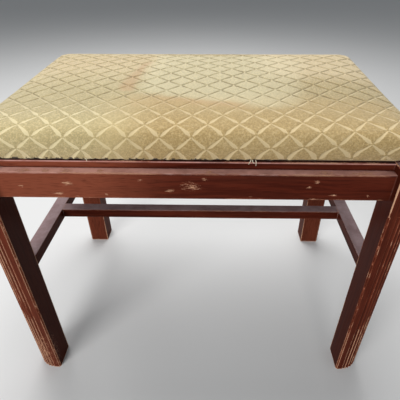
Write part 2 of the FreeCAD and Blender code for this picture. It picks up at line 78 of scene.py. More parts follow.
# Bare patches on the ledge above it: middle across, half width
LEDGE_MARKS = ((-189, 12), (-164, 8), (-141, 10), (-103, 7), (17, 7), (149, 17), (190, 26))

# Patches of the seat in millimetres: middle and half size in plan
# The middle and back of the top, where the furrows get painted shade and the pale strokes are dimmed
FURROW_SHADE_AREA = ((0, 60), (250, 105))
STAIN_FRONT = ((-14, -97), (58, 6))
# Tanned, pinked, paled, soiled, then paled at the back, left and front, and stained: patch, width of its
# soft edge in millimetres, colour and share of that colour
SEAT_PATCHES = (
    (((70, -130), (150, 30)), 45, (0.56, 0.36, 0.145), 0.38),
    (((-150, 45), (60, 50)), 50, (0.80, 0.56, 0.36), 0.12),
    (((-165, -70), (70, 60)), 70, (0.72, 0.68, 0.42), 0.22),
    (((-30, -75), (230, 25)), 50, (0.40, 0.32, 0.17), 0.16),
    (((205, 100), (80, 70)), 60, (0.84, 0.68, 0.44), 0.42),
    (((-170, 95), (80, 50)), 60, (0.86, 0.72, 0.46), 0.24),
    (((-170, -168), (80, 10)), 45, (0.76, 0.63, 0.32), 0.22),
    (STAIN_FRONT, 14, (0.60, 0.40, 0.19), 0.2),
)
# Corners of the bleached patch in plan, in millimetres, anticlockwise
BLEACHED = ((-73, 118), (-74, -74), (4, -90), (62, -108), (102, -107), (125, -96), (163, 90), (168, 118))
# Corners of the brown stain beside it
STAIN_LEFT = ((-77, 68), (-83, 67), (-98, -52), (-94, -62), (-83, -62))

# Uneven pull of the old cloth, in diamonds, fitted to the rows of the real seat: the shares of 1, a, b, aa,
# ab, bb, aaa, aab, abb and bbb, where a and b are the shares of the half width and half depth
PULL_ACROSS = (0.2489, 0.1215, 0.0518, -0.2504, -0.1463, -0.0887, -0.1949, -0.1089, -0.1265, -0.0227)
PULL_ALONG = (4.7151, -0.4234, -0.115, -0.2771, -0.1253, -0.0423, 0.0249, 0.0125, 0.0465, -0.0085)
# Where a woven stroke starts, is full and ends, from one crossing to the next
BOLD_TAPER = (0.06, 0.77, 0.94)
THIN_TAPER = (0.06, 0.25, 0.94)

# Loose threads in millimetres: place across, lean to the right and length
THREADS = ((64.0, -0.5, 5.0), (65.6, 0.35, 4.0), (69.2, 0.1, 6.0), (-118.0, 0.6, 3.0))
# Lamps: name, place, aim, size in metres and power in watts
LAMPS = (
    ("front_softbox", (-1.0, -1.7, 1.05), (0, -0.05, 0.3), 1.2, 31),
    ("top_softbox", (-0.2, 0.9, 1.9), (0, 0, 0.35), 1.6, 37),
)

# Kinds of settings, each with its unit or subtype
Number = bpy.props.FloatProperty
Length = partial(bpy.props.FloatProperty, unit="LENGTH")
Angle = partial(bpy.props.FloatProperty, unit="ROTATION")
Place = partial(bpy.props.FloatVectorProperty, subtype="TRANSLATION")
Tint = partial(bpy.props.FloatVectorProperty, subtype="COLOR")


class BenchCushion(bpy.types.PropertyGroup):
    """Sizes of the seat, and the weave and colours of its cloth."""

    corner: Length(name="Corner", description="Radius of the seat's corners in plan", default=24 * MM)
    roll: Length(name="Edge roll", description="Radius of the rolled upper edge", default=12 * MM)
    low_roll: Length(name="Lower roll", description="Radius where the cloth turns under", default=3 * MM)
    drawn_in: Length(
        name="Drawn in", description="How far the side is drawn in at the board", default=6.5 * MM)
    side: Length(name="Edge height", description="Height of the upper edge over the frame", default=39.4 * MM)
    crown: Length(name="Crown", description="Rise of the middle before the stuffing swells", default=7 * MM)
    under: Length(name="Turn under", description="Width of cloth turned under the board", default=14 * MM)
    swell: Length(name="Swell", description="Most that the stuffing may push the cloth out", default=4 * MM)
    lean: Place(
        name="Lean", description="How far the old stuffing leans over at the top", default=(4 * MM, 0, 0))
    spread: Length(
        name="Spread", description="How far the stuffing bulges out to the sides at the back",
        default=4.5 * MM)
    corner_lifts: bpy.props.FloatVectorProperty(
        name="Corner lifts",
        description="Rise of the front left, front right, back left and back right corners",
        size=4, default=(-4 * MM, -5.5 * MM, -1 * MM, 3.5 * MM), unit="LENGTH")
    mesh_step: Length(name="Mesh step", description="Spacing of the cloth's points", default=1.05 * MM)
    sim_step: Length(
        name="Simulation step", description="Spacing of points while it swells", default=6.5 * MM)
    lattice: Length(
        name="Lattice", description="Length of one woven diamond along the cloth", default=34 * MM)
    lattice_width: Length(name="Lattice width", description="Width of one woven diamond", default=34.8 * MM)
    hem_lift: Length(
        name="Hem lift", description="Rise of the lower edge at the front right corner", default=3 * MM)
    drawn_out: Number(
        name="Drawn out", description="Share by which the cloth is drawn out above the lower edge",
        default=0.55)
    drawn_aside: Number(
        name="Drawn aside", description="Share of its drop by which the cloth is pulled to the corners",
        default=0.35)
    groove: Length(name="Furrow depth", description="Most depth of a woven furrow", default=1.1 * MM)
    furrow: Length(name="Furrow", description="Half width of a woven furrow", default=2.1 * MM)
    wall: Length(
        name="Pile edge", description="Width of the sloping edge of the pile at a stroke", default=0.9 * MM)
    thin_stroke: Length(
        name="Thin stroke", description="Half width of the strokes that rise to the right", default=1.95 * MM)
    bold_stroke: Length(
        name="Bold stroke", description="Half width of the strokes that fall to the right", default=2.1 * MM)
    pile: Tint(name="Pile", description="Olive-gold of the cut pile", default=(0.59, 0.445, 0.205))
    pile_shade: Tint(name="Pile shade", description="Deeper fleck of the pile", default=(0.27, 0.20, 0.09))
    stroke: Tint(
        name="Stroke", description="Pale ground that shows in the strokes", default=(0.80, 0.68, 0.42))


class BenchWood(bpy.types.PropertyGroup):
    """Colours of the frame."""

    stain: Tint(name="Stain", description="Red-brown stain", default=(0.105, 0.0175, 0.0085))
    stain_deep: Tint(name="Deep stain", description="Stain in the dark grain", default=(0.033, 0.0052, 0.003))
    rubbed: Tint(name="Rubbed", description="Stain rubbed thin", default=(0.29, 0.08, 0.042))
    edge: Tint(name="Edge", description="Polished edges of the rails", default=(0.70, 0.42, 0.35))
    lip: Tint(name="Lip", description="Upper edge of the rails under the cushion", default=(0.60, 0.31, 0.27))
    bare: Tint(name="Bare", description="Bare wood at worn edges", default=(0.71, 0.41, 0.255))
    dust: Tint(name="Dust", description="Dust and dulled varnish", default=(0.50, 0.365, 0.37))
    # Whitened varnish with a painted reflection of the light from above
    bloom_and_reflection: Tint(
        name="Bloom", description="Whitened varnish on the ledges of the rails", default=(0.76, 0.42, 0.36))


class BenchStage(bpy.types.PropertyGroup):
    """Camera and floor."""

    camera_place: Place(
        name="Camera", description="Place of the camera", default=(0.02524, -0.51788, 0.57683))
    pitch: Angle(name="Pitch", description="How far the camera looks down", default=0.6104)
    yaw: Angle(name="Yaw", description="How far the camera is turned to the left", default=-0.0051)
    roll: Angle(name="Roll", description="How far the camera leans", default=0.0129)
    lens: Number(name="Lens", description="Focal length in millimetres on a 36 mm sensor", default=33.13)
    shift: Number(name="Shift", description="Sideways shift of the picture", default=-0.0426)
    floor: Tint(name="Floor", description="Colour of the floor", default=(0.78, 0.775, 0.765))


class NodeDesk:
    """Places nodes in one tree; an input given as a socket is linked, any other is set."""

    def __init__(self, tree):
        self.tree = tree

    def node(self, kind, inputs=None, **settings):
        node = self.tree.nodes.new(kind)
        for name, value in settings.items():
            setattr(node, name, value)
        for name, value in (inputs or {}).items():
            self.feed(node.inputs[name], value)
        return node

    def feed(self, socket, value):
        if isinstance(value, bpy.types.NodeSocket):
            self.tree.links.new(value, socket)
        else:
            socket.default_value = value

    def math(self, operation, a, b=0.0, clamp=False):
        return self.node("ShaderNodeMath", {0: a, 1: b}, operation=operation, use_clamp=clamp).outputs[0]

    def times(self, product, *factors):
        for factor in factors:
            product = self.math("MULTIPLY", product, factor)
        return product

    def plus(self, a, b):
        return self.math("ADD", a, b)

    def minus(self, a, b):
        return self.math("SUBTRACT", a, b)

    def most(self, a, b):
        return self.math("MAXIMUM", a, b)

    def vector(self, operation, a, b=(0, 0, 0)):
        node = self.node("ShaderNodeVectorMath", {0: a, 1: b}, operation=operation)
        return node.outputs["Value" if operation in ("LENGTH", "DOT_PRODUCT") else "Vector"]

    def coords(self, kind="Object"):
        return self.node("ShaderNodeTexCoord").outputs[kind]

    def split(self, vector):
        return self.node("ShaderNodeSeparateXYZ", {"Vector": vector}).outputs

    def step(self, value, low, high, start=0.0, end=1.0, kind="SMOOTHSTEP"):
        """A smooth climb, or one of another kind, from start at low to end at high."""
        inputs = {"Value": value, "From Min": low, "From Max": high, "To Min": start, "To Max": end}
        return self.node("ShaderNodeMapRange", inputs, interpolation_type=kind, clamp=True).outputs["Result"]

    def noise(self, vector, scale, detail=3.0, rough=0.55, distort=0.0):
        inputs = {"Vector": vector, "Scale": scale, "Detail": detail, "Roughness": rough,
                  "Distortion": distort}
        return self.node("ShaderNodeTexNoise", inputs).outputs["Fac"]

    def mottle(self, vector, scale, detail, rough, *climb):
        """Noise put through a step."""
        return self.step(self.noise(vector, scale, detail, rough), *climb)

    def mapped(self, vector, **inputs):
        return self.node("ShaderNodeMapping", {"Vector": vector, **inputs}).outputs[0]

    def streaks(self, vector, scale, *settings):
        """Noise with its own scale along each axis."""
        return self.noise(self.mapped(vector, Scale=scale), 1.0, *settings)

    def blend(self, factor, *tints):
        """One colour going over into another."""
        node = self.node("ShaderNodeMix", {0: factor}, data_type="RGBA")
        for socket, tint in zip(node.inputs[6:8], tints):
            self.feed(socket, tint if isinstance(tint, bpy.types.NodeSocket) else (*tint, 1.0))
        return node.outputs[2]

    def use(self, build, **inputs):
        """Place the node group of a function's name, built the first time, and give its outputs by name."""
        tree = bpy.data.node_groups.get(build.__name__) or build(build.__name__)
        return self.node("ShaderNodeGroup", inputs, node_tree=tree).outputs


def new_group(name, inputs, outputs):
    """An empty shader node group; returns the tree, its desk, its inputs and its output node's sockets.

    Inputs are defaults by name: a number makes a number socket, three numbers or none make a vector.
    """
    tree = bpy.data.node_groups.new(name, "ShaderNodeTree")
    for label, default in inputs.items():
        kind = "NodeSocketFloat" if isinstance(default, float) else "NodeSocketVector"
        socket = tree.interface.new_socket(label, in_out="INPUT", socket_type=kind)
        if default is not None:
            socket.default_value = default
    for label in outputs:
        kind = "NodeSocketVector" if label == "Vector" else "NodeSocketFloat"
        tree.interface.new_socket(label, in_out="OUTPUT", socket_type=kind)
    desk = NodeDesk(tree)
    return tree, desk, desk.node("NodeGroupInput").outputs, desk.node("NodeGroupOutput").inputs


# Shared effects

def wood_figure(name):
    """Long grain, broad figure and short pores of a plain-sawn board whose grain runs along X."""
    tree, desk, given, out = new_group(name, {"Vector": None}, ("Grain", "Figure", "Pores"))
    sway = desk.times(desk.streaks(given["Vector"], (5, 14, 14), 2.0), 0.02)
    sway = desk.node("ShaderNodeCombineXYZ", {"Y": sway, "Z": sway})
    bent = desk.vector("ADD", given["Vector"], sway.outputs[0])
    shade_lines = desk.streaks(bent, (7, 190, 190), 4.0, 0.6)
    broad = desk.streaks(bent, (4, 38, 38), 2.0)
    pores = desk.streaks(given["Vector"], (55, 1500, 1500), 1.0)
    desk.feed(out["Grain"], desk.step(shade_lines, 0.32, 0.68))
    desk.feed(out["Figure"], desk.step(broad, 0.3, 0.7))
    desk.feed(out["Pores"], desk.step(pores, 0.58, 0.66))
    return tree


def arris_wear(name):
    """Wear along standing edges: where the normal turns within the radius and nothing near shades it.

    The wear is broken up by knocks of two sizes, the small ones drawn out along the grain, which runs along
    X. The third output is painted shade in the hollows beside the edges, where ambient occlusion is low.
    """
    tree, desk, given, out = new_group(
        name, {"Vector": None, "Radius": 0.002, "Amount": 0.5}, ("Wear", "Edge", "Hollow_shade"))
    eased = desk.node("ShaderNodeBevel", {"Radius": given["Radius"]}, samples=8).outputs[0]
    straight = desk.node("ShaderNodeNewGeometry").outputs["Normal"]
    bend = desk.minus(1.0, desk.vector("DOT_PRODUCT", eased, straight))
    shade = desk.node("ShaderNodeAmbientOcclusion", {"Distance": 4 * MM}, samples=8, only_local=True)
    shade = shade.outputs["AO"]
    edge = desk.times(desk.step(bend, 0.003, 0.06), desk.step(shade, 0.72, 0.95))
    knocks = desk.streaks(given["Vector"], (38, 150, 150), 4.0, 0.7)
    patches = desk.noise(given["Vector"], 12.0, 2.0)
    broken = desk.plus(desk.times(knocks, 0.6), desk.times(patches, 0.5))
    level = desk.minus(1.0, given["Amount"])
    torn = desk.step(broken, desk.minus(level, 0.08), desk.plus(level, 0.1))
    desk.feed(out["Wear"], desk.times(edge, torn))
    desk.feed(out["Edge"], edge)
    # Painted shade: the more a hollow is occluded, the darker
    desk.feed(out["Hollow_shade"], desk.step(shade, 0.93, 0.55))
    return tree


def settled_dust_and_reflection(name):
    """Dust on faces that look up, thinner where it has been brushed, and left out close under another piece,
    which also paints shade there. On the rails the same mask carries whitened varnish with a painted
    reflection.
    """
    tree, desk, given, out = new_group(name, {"Vector": None, "Amount": 0.5}, ("Dust",))
    lying_dust_and_reflection = desk.step(desk.split(desk.coords("Normal"))["Z"], 0.45, 0.95)
    swept = desk.mottle(given["Vector"], 38.0, 4.0, 0.65, 0.25, 0.75, 0.55, 1.0)
    # Left out where occluded: no dust settles there, and this also paints shade under other pieces
    shade = desk.node("ShaderNodeAmbientOcclusion", {"Distance": 10 * MM}, samples=8).outputs["AO"]
    swept = desk.times(swept, desk.step(shade, 0.2, 0.6))
    desk.feed(out["Dust"], desk.times(lying_dust_and_reflection, swept, given["Amount"]))
    return tree


def scuff_patch(name):
    """Scratches drawn out along the grain inside a soft oval with the given middle and half sizes."""
    tree, desk, given, out = new_group(
        name, {"Vector": None, "Grain": None, "Middle": (0, 0, 0), "Half": (0.01, 0.01, 0.01)}, ("Scuff",))
    place = desk.vector("DIVIDE", desk.vector("SUBTRACT", given["Vector"], given["Middle"]), given["Half"])
    inside = desk.step(desk.vector("LENGTH", place), 1.3, 0.1)
    scratches = desk.streaks(given["Grain"], (120, 900, 900), 6.0, 0.85, 0.3)
    cut = desk.plus(scratches, desk.times(inside, 0.135))
    desk.feed(out["Scuff"], desk.times(desk.step(cut, 0.6, 0.68), desk.step(inside, 0.0, 0.3)))
    return tree


def wandering_plan(name):
    """The place in plan, moved a little to and fro so that an edge drawn on it wanders."""
    tree, desk, given, out = new_group(name, {"Vector": None}, ("Vector",))
    inputs = {"Vector": given["Vector"], "Scale": 34.0, "Detail": 5.0, "Roughness": 0.6}
    wander = desk.node("ShaderNodeTexNoise", inputs).outputs["Color"]
    wander = desk.vector("MULTIPLY", desk.vector("SUBTRACT", wander, (0.5, 0.5, 0.5)), (0.018, 0.018, 0))
    desk.feed(out["Vector"], desk.vector("ADD", given["Vector"], wander))
    return tree


def soft_patch(name):
    """A patch with rounded corners and a wandering edge, in plan."""
    tree, desk, given, out = new_group(
        name, {"Vector": None, "Middle": (0, 0, 0), "Half": (0.05, 0.05, 1), "Soft": 0.01}, ("Patch",))
    place = desk.use(wandering_plan, Vector=given["Vector"])["Vector"]
    place = desk.vector("SUBTRACT", place, given["Middle"])
    past = desk.vector("SUBTRACT", desk.vector("ABSOLUTE", place), given["Half"])
    past = desk.vector("MULTIPLY", past, (1, 1, 0))
    outside = desk.vector("LENGTH", desk.vector("MAXIMUM", past, (0, 0, 0)))
    desk.feed(out["Patch"], desk.step(outside, given["Soft"], 0.0))
    return tree


def cloth_weave(name):
    """Fine over-and-under threads of a plain weave, with uneven yarn, on Object coordinates."""
    tree, desk, given, out = new_group(name, {"Vector": None, "Threads": 900.0}, ("Weave", "Fleck"))
    spot = desk.split(given["Vector"])
    turns = desk.times(given["Threads"], math.pi)
    warp = desk.math("SINE", desk.times(spot["X"], turns))
    weft = desk.math("SINE", desk.times(desk.plus(spot["Y"], spot["Z"]), turns))
    uneven = desk.noise(given["Vector"], 1300.0, 2.0, 0.7)
    desk.feed(out["Weave"], desk.plus(desk.times(warp, weft, 0.25), uneven))
    desk.feed(out["Fleck"], desk.noise(given["Vector"], 640.0, 3.0, 0.8))
    return tree


def diamond_strokes(name):
    """Wedge-shaped strokes along the sides of square diamonds, on cloth coordinates counted in diamonds.

    With s = U + V and t = U - V, bold strokes follow whole s and thin ones follow whole t. A stroke's half
    width climbs evenly from a fifth at its start to the whole where it is full, and falls again to its end.
    The second output is a narrow painted shade line beside a stroke, standing in for the shade in its furrow.
    """
    tree, desk, given, out = new_group(
        name, {"Vector": None, "Thin": 0.03, "Bold": 0.05, "Edge": 0.025}, ("Stroke", "Line"))
    narrow, gap = 0.2, 0.03
    # How far a stroke and its painted shade line lie to either side of the line between two crossings
    shifts = (-0.03, 0.04)
    cloth = desk.split(given["Vector"])
    rising = desk.plus(cloth["X"], cloth["Y"])
    falling = desk.minus(cloth["X"], cloth["Y"])
    ragged = desk.times(desk.minus(desk.noise(given["Vector"], 34.0, 2.0), 0.5), 0.045)
    strokes, shade_lines = [], []
    for across, along, width, depth, front, (start, full, end) in (
            (rising, falling, given["Bold"], 1.0, -1, BOLD_TAPER),
            (falling, rising, given["Thin"], 0.8, 1, THIN_TAPER)):
        way = desk.math("FRACT", along)
        climb = desk.step(way, start, full, narrow, 1.0, "LINEAR")
        fall = desk.step(way, full, end, 1.0, narrow, "LINEAR")
        half = desk.times(desk.math("MINIMUM", climb, fall), width)
        side = desk.minus(across, desk.math("ROUND", across))
        beside = (desk.math("ABSOLUTE", desk.plus(side, shift * front)) for shift in shifts)
        off, shade_fold = (desk.plus(desk.times(part, math.sqrt(0.5)), ragged) for part in beside)
        within = desk.step(desk.minus(half, off), desk.times(given["Edge"], -0.5), 0.0)
        lasting = desk.times(desk.step(way, start - gap, start), desk.step(way, end + gap, end))
        strokes.append(desk.times(within, lasting))
        # Painted shade: a narrow dark line beside each stroke
        shade_lines.append(desk.times(desk.step(shade_fold, 0.037, 0.01), desk.times(lasting, depth)))
    desk.feed(out["Stroke"], desk.most(*strokes))
    desk.feed(out["Line"], desk.most(*shade_lines))
    return tree


# Materials

def new_material(name, **constants):
    """A material with one Principled shader whose constant sockets are set by name."""
    material = bpy.data.materials.new(name)
    material.use_nodes = True
    shader = material.node_tree.nodes["Principled BSDF"]
    for label, value in constants.items():
        shader.inputs[label.replace("_", " ")].default_value = value
    return material, NodeDesk(material.node_tree), shader.inputs


def finish_surface(desk, shader, base, roughness, height, distance):
    """Feed the changing parts of a surface: colour, roughness and bump."""
    desk.feed(shader["Base Color"], base)
    desk.feed(shader["Roughness"], roughness)
    bump = desk.node("ShaderNodeBump", {"Height": height, "Distance": distance, "Strength": 0.6})
    desk.feed(shader["Normal"], bump.outputs[0])


def stained_wood(node, wood, wear=0.44, radius=2.2, dust=0.8, marks=(), light_patch=None, arris=None,
                 faded=0.0, rub=0.6):
    """Red-brown stained and varnished wood, rubbed through at the edges and dusty on top.

    Wear is how much of the edges is worn through, and radius, in millimetres, is how far from them it shows.
    Marks are scuffed ovals and the light patch is a painted pool of light, each with a middle and half sizes
    in metres. Arris is the plan place of an upright edge that is rubbed bare for most of its length, faded is
    how far the whole piece has gone paler and rub is how far the stain on a leg's edges is rubbed thin. The
    faces of the legs that look at the middle of the bench are darkened towards the deep stain as painted
    shade.
    """
    material, desk, shader = new_material(
        f"stained_wood_{node}", Coat_Weight=0.015, Coat_Roughness=0.25, Specular_IOR_Level=0.015)
    grain = GRAIN_ALONG[node]
    upright, rail = grain == "Z", node.endswith("rail")
    low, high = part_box(node)
    place = desk.coords()
    spot = desk.split(place)
    own = desk.vector("ADD", place, [sum(ends) * OWN_GRAIN for ends in zip(low, high)])
    along = desk.mapped(own, Rotation=GRAIN_TURNS[grain])
    figure = desk.use(wood_figure, Vector=along)
    base = desk.blend(desk.step(figure["Grain"], 0.0, 1.0, 0.25, 0.85), wood.stain_deep, wood.stain)
    base = desk.blend(desk.plus(desk.times(figure["Figure"], 0.1), faded), base, wood.rubbed)
    # Painted light: a paler pool with more whitened varnish, standing in for light falling on this end
    if light_patch:
        patch = desk.use(soft_patch, Vector=place, Middle=light_patch[0], Half=light_patch[1], Soft=0.12)["Patch"]
        base = desk.blend(desk.times(patch, 0.7), base, wood.rubbed)
        dust = desk.plus(desk.times(patch, 0.45), dust)
    base = desk.blend(desk.times(figure["Pores"], 0.5), base, wood.stain_deep)
    if upright:
        wear = desk.plus(wear, desk.step(spot["Z"], 0.17, 0.02, 0.0, 0.17))
        # Painted shade: the faces that look at the middle of the bench are darkened towards the deep stain
        looks = desk.split(desk.coords("Normal"))["X"]
        inward = desk.step(desk.times(looks, 1 if high[0] < 0 else -1), 0.7, 0.95, 0.0, 0.55)
        base = desk.blend(inward, base, wood.stain_deep)
    edges = desk.use(arris_wear, Vector=along, Radius=radius * MM, Amount=wear)
    worn, rubbed, edge_tint = edges["Wear"], rub, wood.rubbed
    if not upright:
        axis = "XYZ".index(grain)
        from_middle = desk.math("ABSOLUTE", desk.minus(spot[axis], (high[axis] + low[axis]) / 2))
        reach = (high[axis] - low[axis]) / 2
        joined, free = reach - 5 * MM, reach - 12 * MM
        worn = desk.times(worn, desk.step(from_middle, joined, free))
        rubbed = desk.times(
            desk.step(from_middle, joined, free, 0.1, 0.9),
            desk.step(spot["Z"], low[2] + 4 * MM, low[2] + 12 * MM, 0.3, 1.0),
            desk.mottle(own, 45.0, 4.0, 0.7, 0.35, 0.6, 0.45, 1.0))
        edge_tint = wood.edge
    for middle, half in marks:
        patch = desk.use(scuff_patch, Vector=place, Grain=along, Middle=middle, Half=half)
        worn = desk.most(worn, desk.times(patch["Scuff"], 0.78))
    if arris:
        away = desk.vector("MULTIPLY", desk.vector("SUBTRACT", place, (*arris, 0)), (1, 1, 0))
        rough = desk.times(desk.noise(own, 55.0, 5.0, 0.7), 2.8 * MM)
        away = desk.plus(desk.vector("LENGTH", away), rough)
        bared = desk.mottle(own, 26.0, 3.0, 0.6, 0.36, 0.6, 0.55, 1.0)
        worn = desk.most(worn, desk.times(desk.step(away, 3.0 * MM, 2.3 * MM), bared))
    # Painted shade in the hollows beside the edges, darkened towards the deep stain
    base = desk.blend(desk.times(edges["Hollow_shade"], 0.8), base, wood.stain_deep)
    # On the rails this colour is whitened varnish with a painted reflection of the light on the up-facing
    # ledge; elsewhere it is dust
    lying_dust_and_reflection = desk.use(settled_dust_and_reflection, Vector=place, Amount=dust)["Dust"]
    base = desk.blend(lying_dust_and_reflection, base, wood.bloom_and_reflection if rail else wood.dust)
    base = desk.blend(desk.times(edges["Edge"], rubbed), base, edge_tint)
    if rail:
        lip = desk.step(spot["Z"], high[2] - 2.4 * MM, high[2] - 1.4 * MM)
        lip = desk.times(lip, desk.mottle(own, 30.0, 4.0, 0.7, 0.3, 0.6, 0.3, 1.0))
        base = desk.blend(lip, base, wood.lip)
        # Painted shade: the top face under the cushion's hem is darkened towards half the deep stain
        shade_under_cushion = desk.step(spot["Z"], high[2] - 0.8 * MM, high[2] - 0.3 * MM, 0.0, 0.95)
        base = desk.blend(shade_under_cushion, base, [part * 0.5 for part in wood.stain_deep])
    base = desk.blend(desk.step(worn, 0.05, 0.45), base, wood.rubbed)
    base = desk.blend(desk.step(worn, 0.4, 0.85), base, wood.bare)
    dull = desk.plus(desk.times(figure["Figure"], 0.1), 0.36)
    dull = desk.math("ADD", dull, desk.times(desk.most(worn, lying_dust_and_reflection), 0.4), clamp=True)
    height = desk.minus(desk.times(figure["Grain"], 0.25), worn)
    finish_surface(desk, shader, base, dull, height, 0.35 * MM)
    return material


def raw_wood(name, pale, dark):
    """Bare sawn wood with open grain along X and some grime."""
    material, desk, shader = new_material(name, Specular_IOR_Level=0.25)
    place = desk.coords()
    figure = desk.use(wood_figure, Vector=place)
    base = desk.blend(figure["Grain"], dark, pale)
    grime = desk.mottle(place, 24.0, 4.0, 0.65, 0.45, 0.75)
    base = desk.blend(desk.times(grime, 0.45), base, [part * 0.45 for part in dark])
    dull = desk.plus(desk.times(figure["Pores"], 0.1), 0.75)
    finish_surface(desk, shader, base, dull, figure["Grain"], 0.3 * MM)
    return material


def old_steel(name, clean, tarnish):
    """Dull steel with brown tarnish in patches."""
    material, desk, shader = new_material(name)
    place = desk.coords()
    spots = desk.mottle(place, 260.0, 4.0, 0.7, 0.42, 0.62)
    desk.feed(shader["Metallic"], desk.step(spots, 0.2, 1.0, 1.0, 0.35))
    fine = desk.noise(place, 1800.0, 2.0)
    dull = desk.step(spots, 0.0, 1.0, 0.38, 0.75)
    finish_surface(desk, shader, desk.blend(spots, clean, tarnish), dull, fine, 0.1 * MM)
    return material


def plan_patch(desk, place, patch, soft):
    """Mask of one stained patch of the seat, given by its middle and half size in millimetres."""
    (x, y), (half_x, half_y) = patch
    return desk.use(soft_patch, Vector=place, Middle=(x * MM, y * MM, 0),
                    Half=(half_x * MM, half_y * MM, 1), Soft=soft * MM)["Patch"]


def inside_corners(desk, place, corners):
    """Way inside a convex outline in plan: the least of the distances to its sides, below nothing outside."""
    plan = desk.use(wandering_plan, Vector=place)["Vector"]
    least = None
    for (x, y), (next_x, next_y) in zip(corners, corners[1:] + corners[:1]):
        length = math.hypot(next_x - x, next_y - y)
        inward = ((y - next_y) / length, (next_x - x) / length, 0)
        start = (x * inward[0] + y * inward[1]) * MM
        depth = desk.minus(desk.vector("DOT_PRODUCT", plan, inward), start)
        least = depth if least is None else desk.math("MINIMUM", least, depth)
    return least


def cut_velour(sizes):
    """Olive-gold cut pile with pale sunk strokes, faded, stained and soiled, with painted shade in the
    furrows on the middle and back of the top.
    """
    material, desk, shader = new_material(
        "cut_velour", Sheen_Weight=0.5, Sheen_Roughness=0.4, Specular_IOR_Level=0.12,
        Sheen_Tint=(1.0, 0.93, 0.78, 1.0))
    place = desk.coords()
    spot = desk.split(place)
    weave = desk.use(cloth_weave, Vector=place, Threads=820.0)

    def height_step(low, high, *ends):
        """A step over the height above the seat's lower edge in millimetres."""
        return desk.step(spot["Z"], SEAT_LOW[2] + low * MM, SEAT_LOW[2] + high * MM, *ends)

    # Painted shade over the middle and back of the top: the pale strokes are narrowed and dimmed there, and
    # dark lines are painted along the furrows
    mid_to_back = desk.times(plan_patch(desk, place, FURROW_SHADE_AREA, 115), height_step(24, 36))
    spread = height_step(18, 5, 1.0 / sizes.lattice, 1.25 / sizes.lattice)
    spread = desk.times(spread, desk.step(mid_to_back, 0.0, 1.0, 1.0, 0.6))
    lattice = desk.use(
        diamond_strokes, Vector=desk.coords("UV"), Thin=desk.times(spread, sizes.thin_stroke),
        Bold=desk.times(spread, sizes.bold_stroke), Edge=sizes.wall / sizes.lattice)
    ground = desk.blend(desk.step(weave["Fleck"], 0.38, 0.62), sizes.pile_shade, sizes.pile)
    drift = desk.noise(place, 16.0, 3.0)
    ground = desk.blend(desk.step(drift, 0.35, 0.75, 0.0, 0.3), ground, (0.56, 0.46, 0.26))
    nap = desk.noise(place, 360.0, 3.0, 0.7)
    ground = desk.blend(desk.step(nap, 0.46, 0.62, 0.0, 0.46), ground, sizes.pile_shade)
    ground = desk.blend(desk.step(nap, 0.5, 0.36, 0.0, 0.36), ground, sizes.stroke)
    pale = desk.blend(desk.step(weave["Fleck"], 0.3, 0.7, 0.22, 0.0), sizes.stroke, sizes.pile)
    shown = desk.times(lattice["Stroke"], desk.step(mid_to_back, 0.1, 1.0, 1.0, 0.6))
    base = desk.blend(shown, ground, pale)
    for patch, soft, tint, share in SEAT_PATCHES:
        base = desk.blend(desk.times(plan_patch(desk, place, patch, soft), share), base, tint)
    stain = desk.step(inside_corners(desk, place, STAIN_LEFT), -7 * MM, 4 * MM)
    base = desk.blend(desk.times(stain, 0.62), base, (0.50, 0.31, 0.16))
    depth = inside_corners(desk, place, BLEACHED)
    bleached = desk.step(depth, -12 * MM, 14 * MM)
    bleached = desk.times(bleached, desk.step(spot["X"], 60 * MM, 170 * MM, 0.34, 0.14))
    base = desk.blend(bleached, base, (0.86, 0.82, 0.57))
    rim = desk.times(desk.step(depth, -18 * MM, -3 * MM), desk.step(depth, 4 * MM, -3 * MM))
    rim = desk.times(rim, desk.times(plan_patch(desk, place, STAIN_FRONT, 30), 0.28))
    base = desk.blend(rim, base, (0.55, 0.33, 0.17))
    # Painted shade: dark lines along the furrows
    shade_fold = desk.times(lattice["Line"], desk.step(mid_to_back, 0.0, 0.9, 0.0, 0.7))
    shade_fold = desk.times(shade_fold, desk.step(desk.noise(place, 75.0, 2.0), 0.36, 0.62, 0.45, 1.0))
    base = desk.blend(shade_fold, base, [part * 0.6 for part in sizes.pile_shade])
    soil = desk.mottle(place, 70.0, 5.0, 0.7, 0.55, 0.8, 0.0, 0.22)
    base = desk.blend(soil, base, (0.26, 0.19, 0.10))
    nicks = desk.step(desk.streaks(place, (210, 210, 90), 2.0), 0.5, 0.57)
    base = desk.blend(desk.times(nicks, height_step(4.4, 2.4)), base, (0.05, 0.03, 0.018))
    height = desk.times(weave["Weave"], desk.step(lattice["Stroke"], 0.0, 1.0, 1.0, 0.5))
    dull = desk.step(weave["Fleck"], 0.2, 0.8, 0.82, 0.97)
    finish_surface(desk, shader, base, dull, height, 0.45 * MM)
    return material


def lining_cloth():
    """Thin black lining with a visible weave and grey dust."""
    material, desk, shader = new_material("lining_cloth", Specular_IOR_Level=0.2)
    place = desk.coords()
    weave = desk.use(cloth_weave, Vector=place, Threads=650.0)
    fleck = desk.step(weave["Fleck"], 0.3, 0.7)
    base = desk.blend(fleck, (0.012, 0.012, 0.014), (0.045, 0.044, 0.045))
    grey = desk.mottle(place, 22.0, 5.0, 0.7, 0.5, 0.8, 0.0, 0.4)
    base = desk.blend(grey, base, (0.14, 0.13, 0.12))
    finish_surface(desk, shader, base, desk.step(grey, 0.0, 0.4, 0.75, 0.95), weave["Weave"], 0.3 * MM)
    return material


def thread_yarn():
    """Pale loose yarn, twisted."""
    material, desk, shader = new_material("thread_yarn", Sheen_Weight=0.2)
    twist = desk.noise(desk.coords(), 2600.0, 2.0)
    base = desk.blend(twist, (0.6, 0.52, 0.36), (0.9, 0.84, 0.68))
    finish_surface(desk, shader, base, desk.step(twist, 0.2, 0.8, 0.75, 0.95), twist, 0.1 * MM)
    return material


